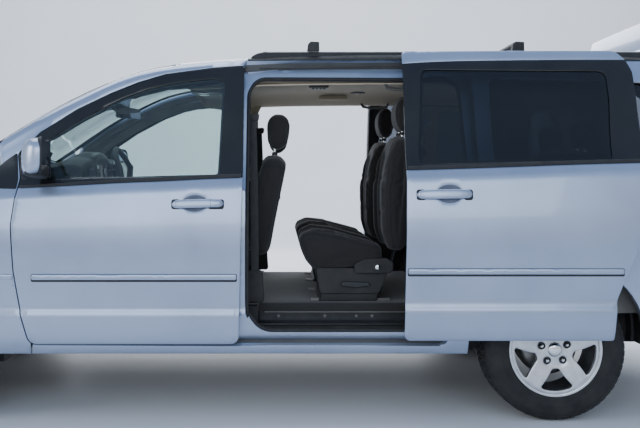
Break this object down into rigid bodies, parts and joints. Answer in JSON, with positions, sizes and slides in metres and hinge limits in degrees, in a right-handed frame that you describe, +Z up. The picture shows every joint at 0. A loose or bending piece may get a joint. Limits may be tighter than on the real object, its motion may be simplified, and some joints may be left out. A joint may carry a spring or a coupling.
{
  "type": "minivan",
  "caption": "Long-wheelbase family minivan with hinged front doors, open sliding side doors, raised liftgate, hollow cabin and steerable front wheels.",
  "frame": {"origin": "on the ground under the middle of the bounding box", "axes": "+Z up, the front faces -X, the left side faces -Y, +X runs to the rear"},
  "size_m": [5.8603, 2.244, 2.0456],
  "materials": {
    "body_silver": "silver metallic with clear coat",
    "clear_glass": "clear, faint green",
    "dark_glass": "privacy tint",
    "headliner_cloth": "beige cloth",
    "cabin_plastic": "grained",
    "seat_cloth": "dark woven cloth",
    "underbody": "dark underbody coat",
    "bright_chrome": "bright",
    "lamp_lens": "clear lens",
    "red_lens": "red lens",
    "black_trim": "grained black",
    "engine_iron": "cast",
    "chassis_steel": "black coat",
    "exhaust_steel": "dull",
    "tyre_rubber": "worn black",
    "rim_alloy": "painted alloy"
  },
  "bodies": {
    "root": {"left_body_side": "body_silver", "right_body_side": "body_silver", "roof": "body_silver", "front_fenders": "body_silver", "front_bumper": "body_silver", "rear_bumper": "body_silver", "left_sliding_door": "body_silver", "right_sliding_door": "body_silver", "windshield": "clear_glass", "sliding_door_windows": "dark_glass", "quarter_windows": "dark_glass", "headliner": "headliner_cloth", "dashboard": "cabin_plastic", "inner_mirror": "cabin_plastic", "front_seats": "seat_cloth", "second_row_seats": "seat_cloth", "third_row_seat": "seat_cloth", "floor_pan": "underbody", "cowl_and_bulkhead": "underbody", "grille": "bright_chrome", "headlights": "lamp_lens", "tail_lights": "red_lens", "roof_crossbars": "black_trim", "roof_rails": "black_trim", "engine_block": "engine_iron", "front_subframe": "chassis_steel", "rear_axle": "chassis_steel", "exhaust": "exhaust_steel", "fuel_tank": "black_trim", "door_hinges": "chassis_steel"},
    "left_steer": {"left_knuckle": "chassis_steel"},
    "right_steer": {"right_knuckle": "chassis_steel"},
    "left_front_wheel": {"left_front_tyre": "tyre_rubber", "left_front_rim": "rim_alloy"},
    "right_front_wheel": {"right_front_tyre": "tyre_rubber", "right_front_rim": "rim_alloy"},
    "left_rear_wheel": {"left_rear_tyre": "tyre_rubber", "left_rear_rim": "rim_alloy"},
    "right_rear_wheel": {"right_rear_tyre": "tyre_rubber", "right_rear_rim": "rim_alloy"},
    "left_front_door_body": {"left_front_door": "body_silver", "left_front_window": "clear_glass", "left_mirror": "body_silver"},
    "right_front_door_body": {"right_front_door": "body_silver", "right_front_window": "clear_glass", "right_mirror": "body_silver"},
    "hood_body": {"hood": "body_silver"},
    "liftgate_body": {"liftgate": "body_silver", "liftgate_window": "dark_glass"},
    "steering_wheel_body": {"steering_wheel": "cabin_plastic"}
  },
  "joints": [
    {"name": "left_steering", "type": "hinge", "parent": "root", "child": "left_steer", "pos_m": [-1.965, -0.69, 0.34], "axis": [0, 0, 1], "range_deg": [-33, 33]},
    {"name": "left_front_wheel_spin", "type": "hinge", "parent": "left_steer", "child": "left_front_wheel", "pos_m": [-1.965, -0.833, 0.34], "axis": [0, -1, 0], "continuous": true},
    {"name": "left_rear_wheel_spin", "type": "hinge", "parent": "root", "child": "left_rear_wheel", "pos_m": [1.113, -0.8225, 0.34], "axis": [0, -1, 0], "continuous": true},
    {"name": "left_front_door_hinge", "type": "hinge", "parent": "root", "child": "left_front_door_body", "pos_m": [-1.457, -0.957, 0.676], "axis": [0, 0, -1], "range_deg": [0, 65]},
    {"name": "right_steering", "type": "hinge", "parent": "root", "child": "right_steer", "pos_m": [-1.965, 0.69, 0.34], "axis": [0, 0, 1], "range_deg": [-33, 33]},
    {"name": "right_front_wheel_spin", "type": "hinge", "parent": "right_steer", "child": "right_front_wheel", "pos_m": [-1.965, 0.833, 0.34], "axis": [0, -1, 0], "continuous": true},
    {"name": "right_rear_wheel_spin", "type": "hinge", "parent": "root", "child": "right_rear_wheel", "pos_m": [1.113, 0.8225, 0.34], "axis": [0, -1, 0], "continuous": true},
    {"name": "right_front_door_hinge", "type": "hinge", "parent": "root", "child": "right_front_door_body", "pos_m": [-1.457, 0.957, 0.676], "axis": [0, 0, 1], "range_deg": [0, 65]},
    {"name": "hood_hinge", "type": "hinge", "parent": "root", "child": "hood_body", "pos_m": [-1.94, 0, 1.078], "axis": [0, 1, 0], "range_deg": [0, 50]},
    {"name": "liftgate_hinge", "type": "hinge", "parent": "root", "child": "liftgate_body", "pos_m": [1.783, 0, 1.768], "axis": [0, 1, 0], "range_deg": [0, 85]},
    {"name": "steering_wheel_turn", "type": "hinge", "parent": "root", "child": "steering_wheel_body", "pos_m": [-1.005, -0.37, 1.15], "axis": [0.9063, 0, 0.4226], "range_deg": [-495, 495]}
  ],
  "couplings": [
    {"joint": "right_steering", "follows": "left_steering", "ratio": 1},
    {"joint": "steering_wheel_turn", "follows": "left_steering", "ratio": 15}
  ]
}
